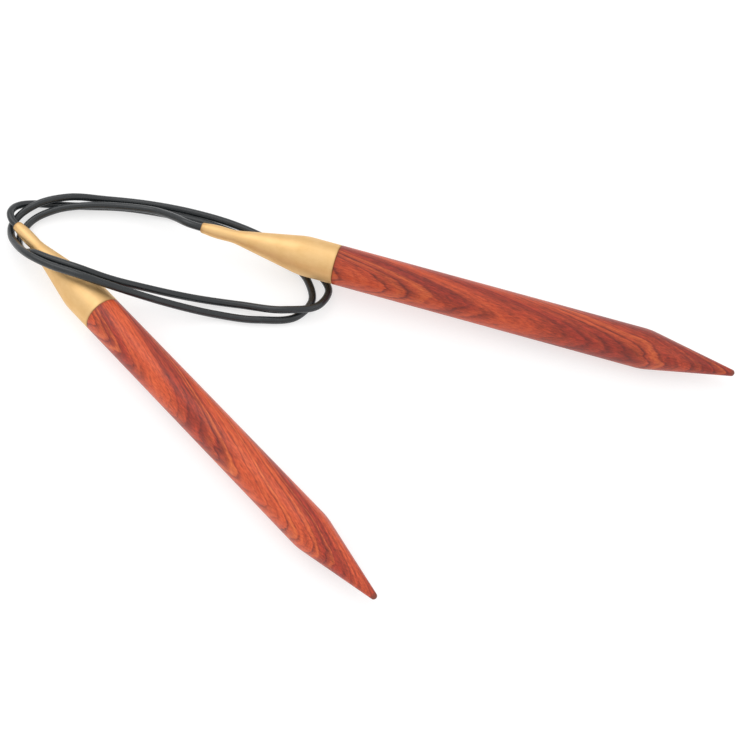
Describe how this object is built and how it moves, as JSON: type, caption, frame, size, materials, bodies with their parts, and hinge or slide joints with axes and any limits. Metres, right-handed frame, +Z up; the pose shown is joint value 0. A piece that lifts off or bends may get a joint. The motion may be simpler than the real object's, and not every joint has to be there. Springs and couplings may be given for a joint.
{
  "type": "circular knitting needle",
  "caption": "Circular knitting needle: turned wooden points in tapered brass ferrules, joined by a dark flexible cable that turns freely in the ferrules' necks.",
  "frame": {"origin": "middle of the two needles' outline on the surface that they lie on, seen from above", "axes": "+Z up, +X along the longer side of the pair of needles, from the left needle's ferrule towards the right needle's tip, +Y away from the left needle's tip"},
  "size_m": [0.163, 0.1025, 0.0116],
  "materials": {
    "wood": "polished, red-stained, streaked grain",
    "brass": "satin",
    "cable": "semi-gloss nylon",
    "stop": "plain crimped sleeve"
  },
  "bodies": {
    "cable": {"cable": "cable", "left_cable_end": "cable", "right_cable_end": "cable", "left_cable_stop": "stop", "right_cable_stop": "stop"},
    "left_needle": {"left_ferrule": "brass", "left_point": "wood"},
    "right_needle": {"right_ferrule": "brass", "right_point": "wood"}
  },
  "joints": [
    {"name": "left_swivel", "type": "hinge", "parent": "cable", "child": "left_needle", "pos_m": [-0.0795, 0.0457, 0.0045], "axis": [0.6652, -0.7466, 0], "continuous": true},
    {"name": "right_swivel", "type": "hinge", "parent": "cable", "child": "right_needle", "pos_m": [-0.0369, 0.0428, 0.00791], "axis": [0.9563, -0.2905, -0.0332], "continuous": true}
  ]
}
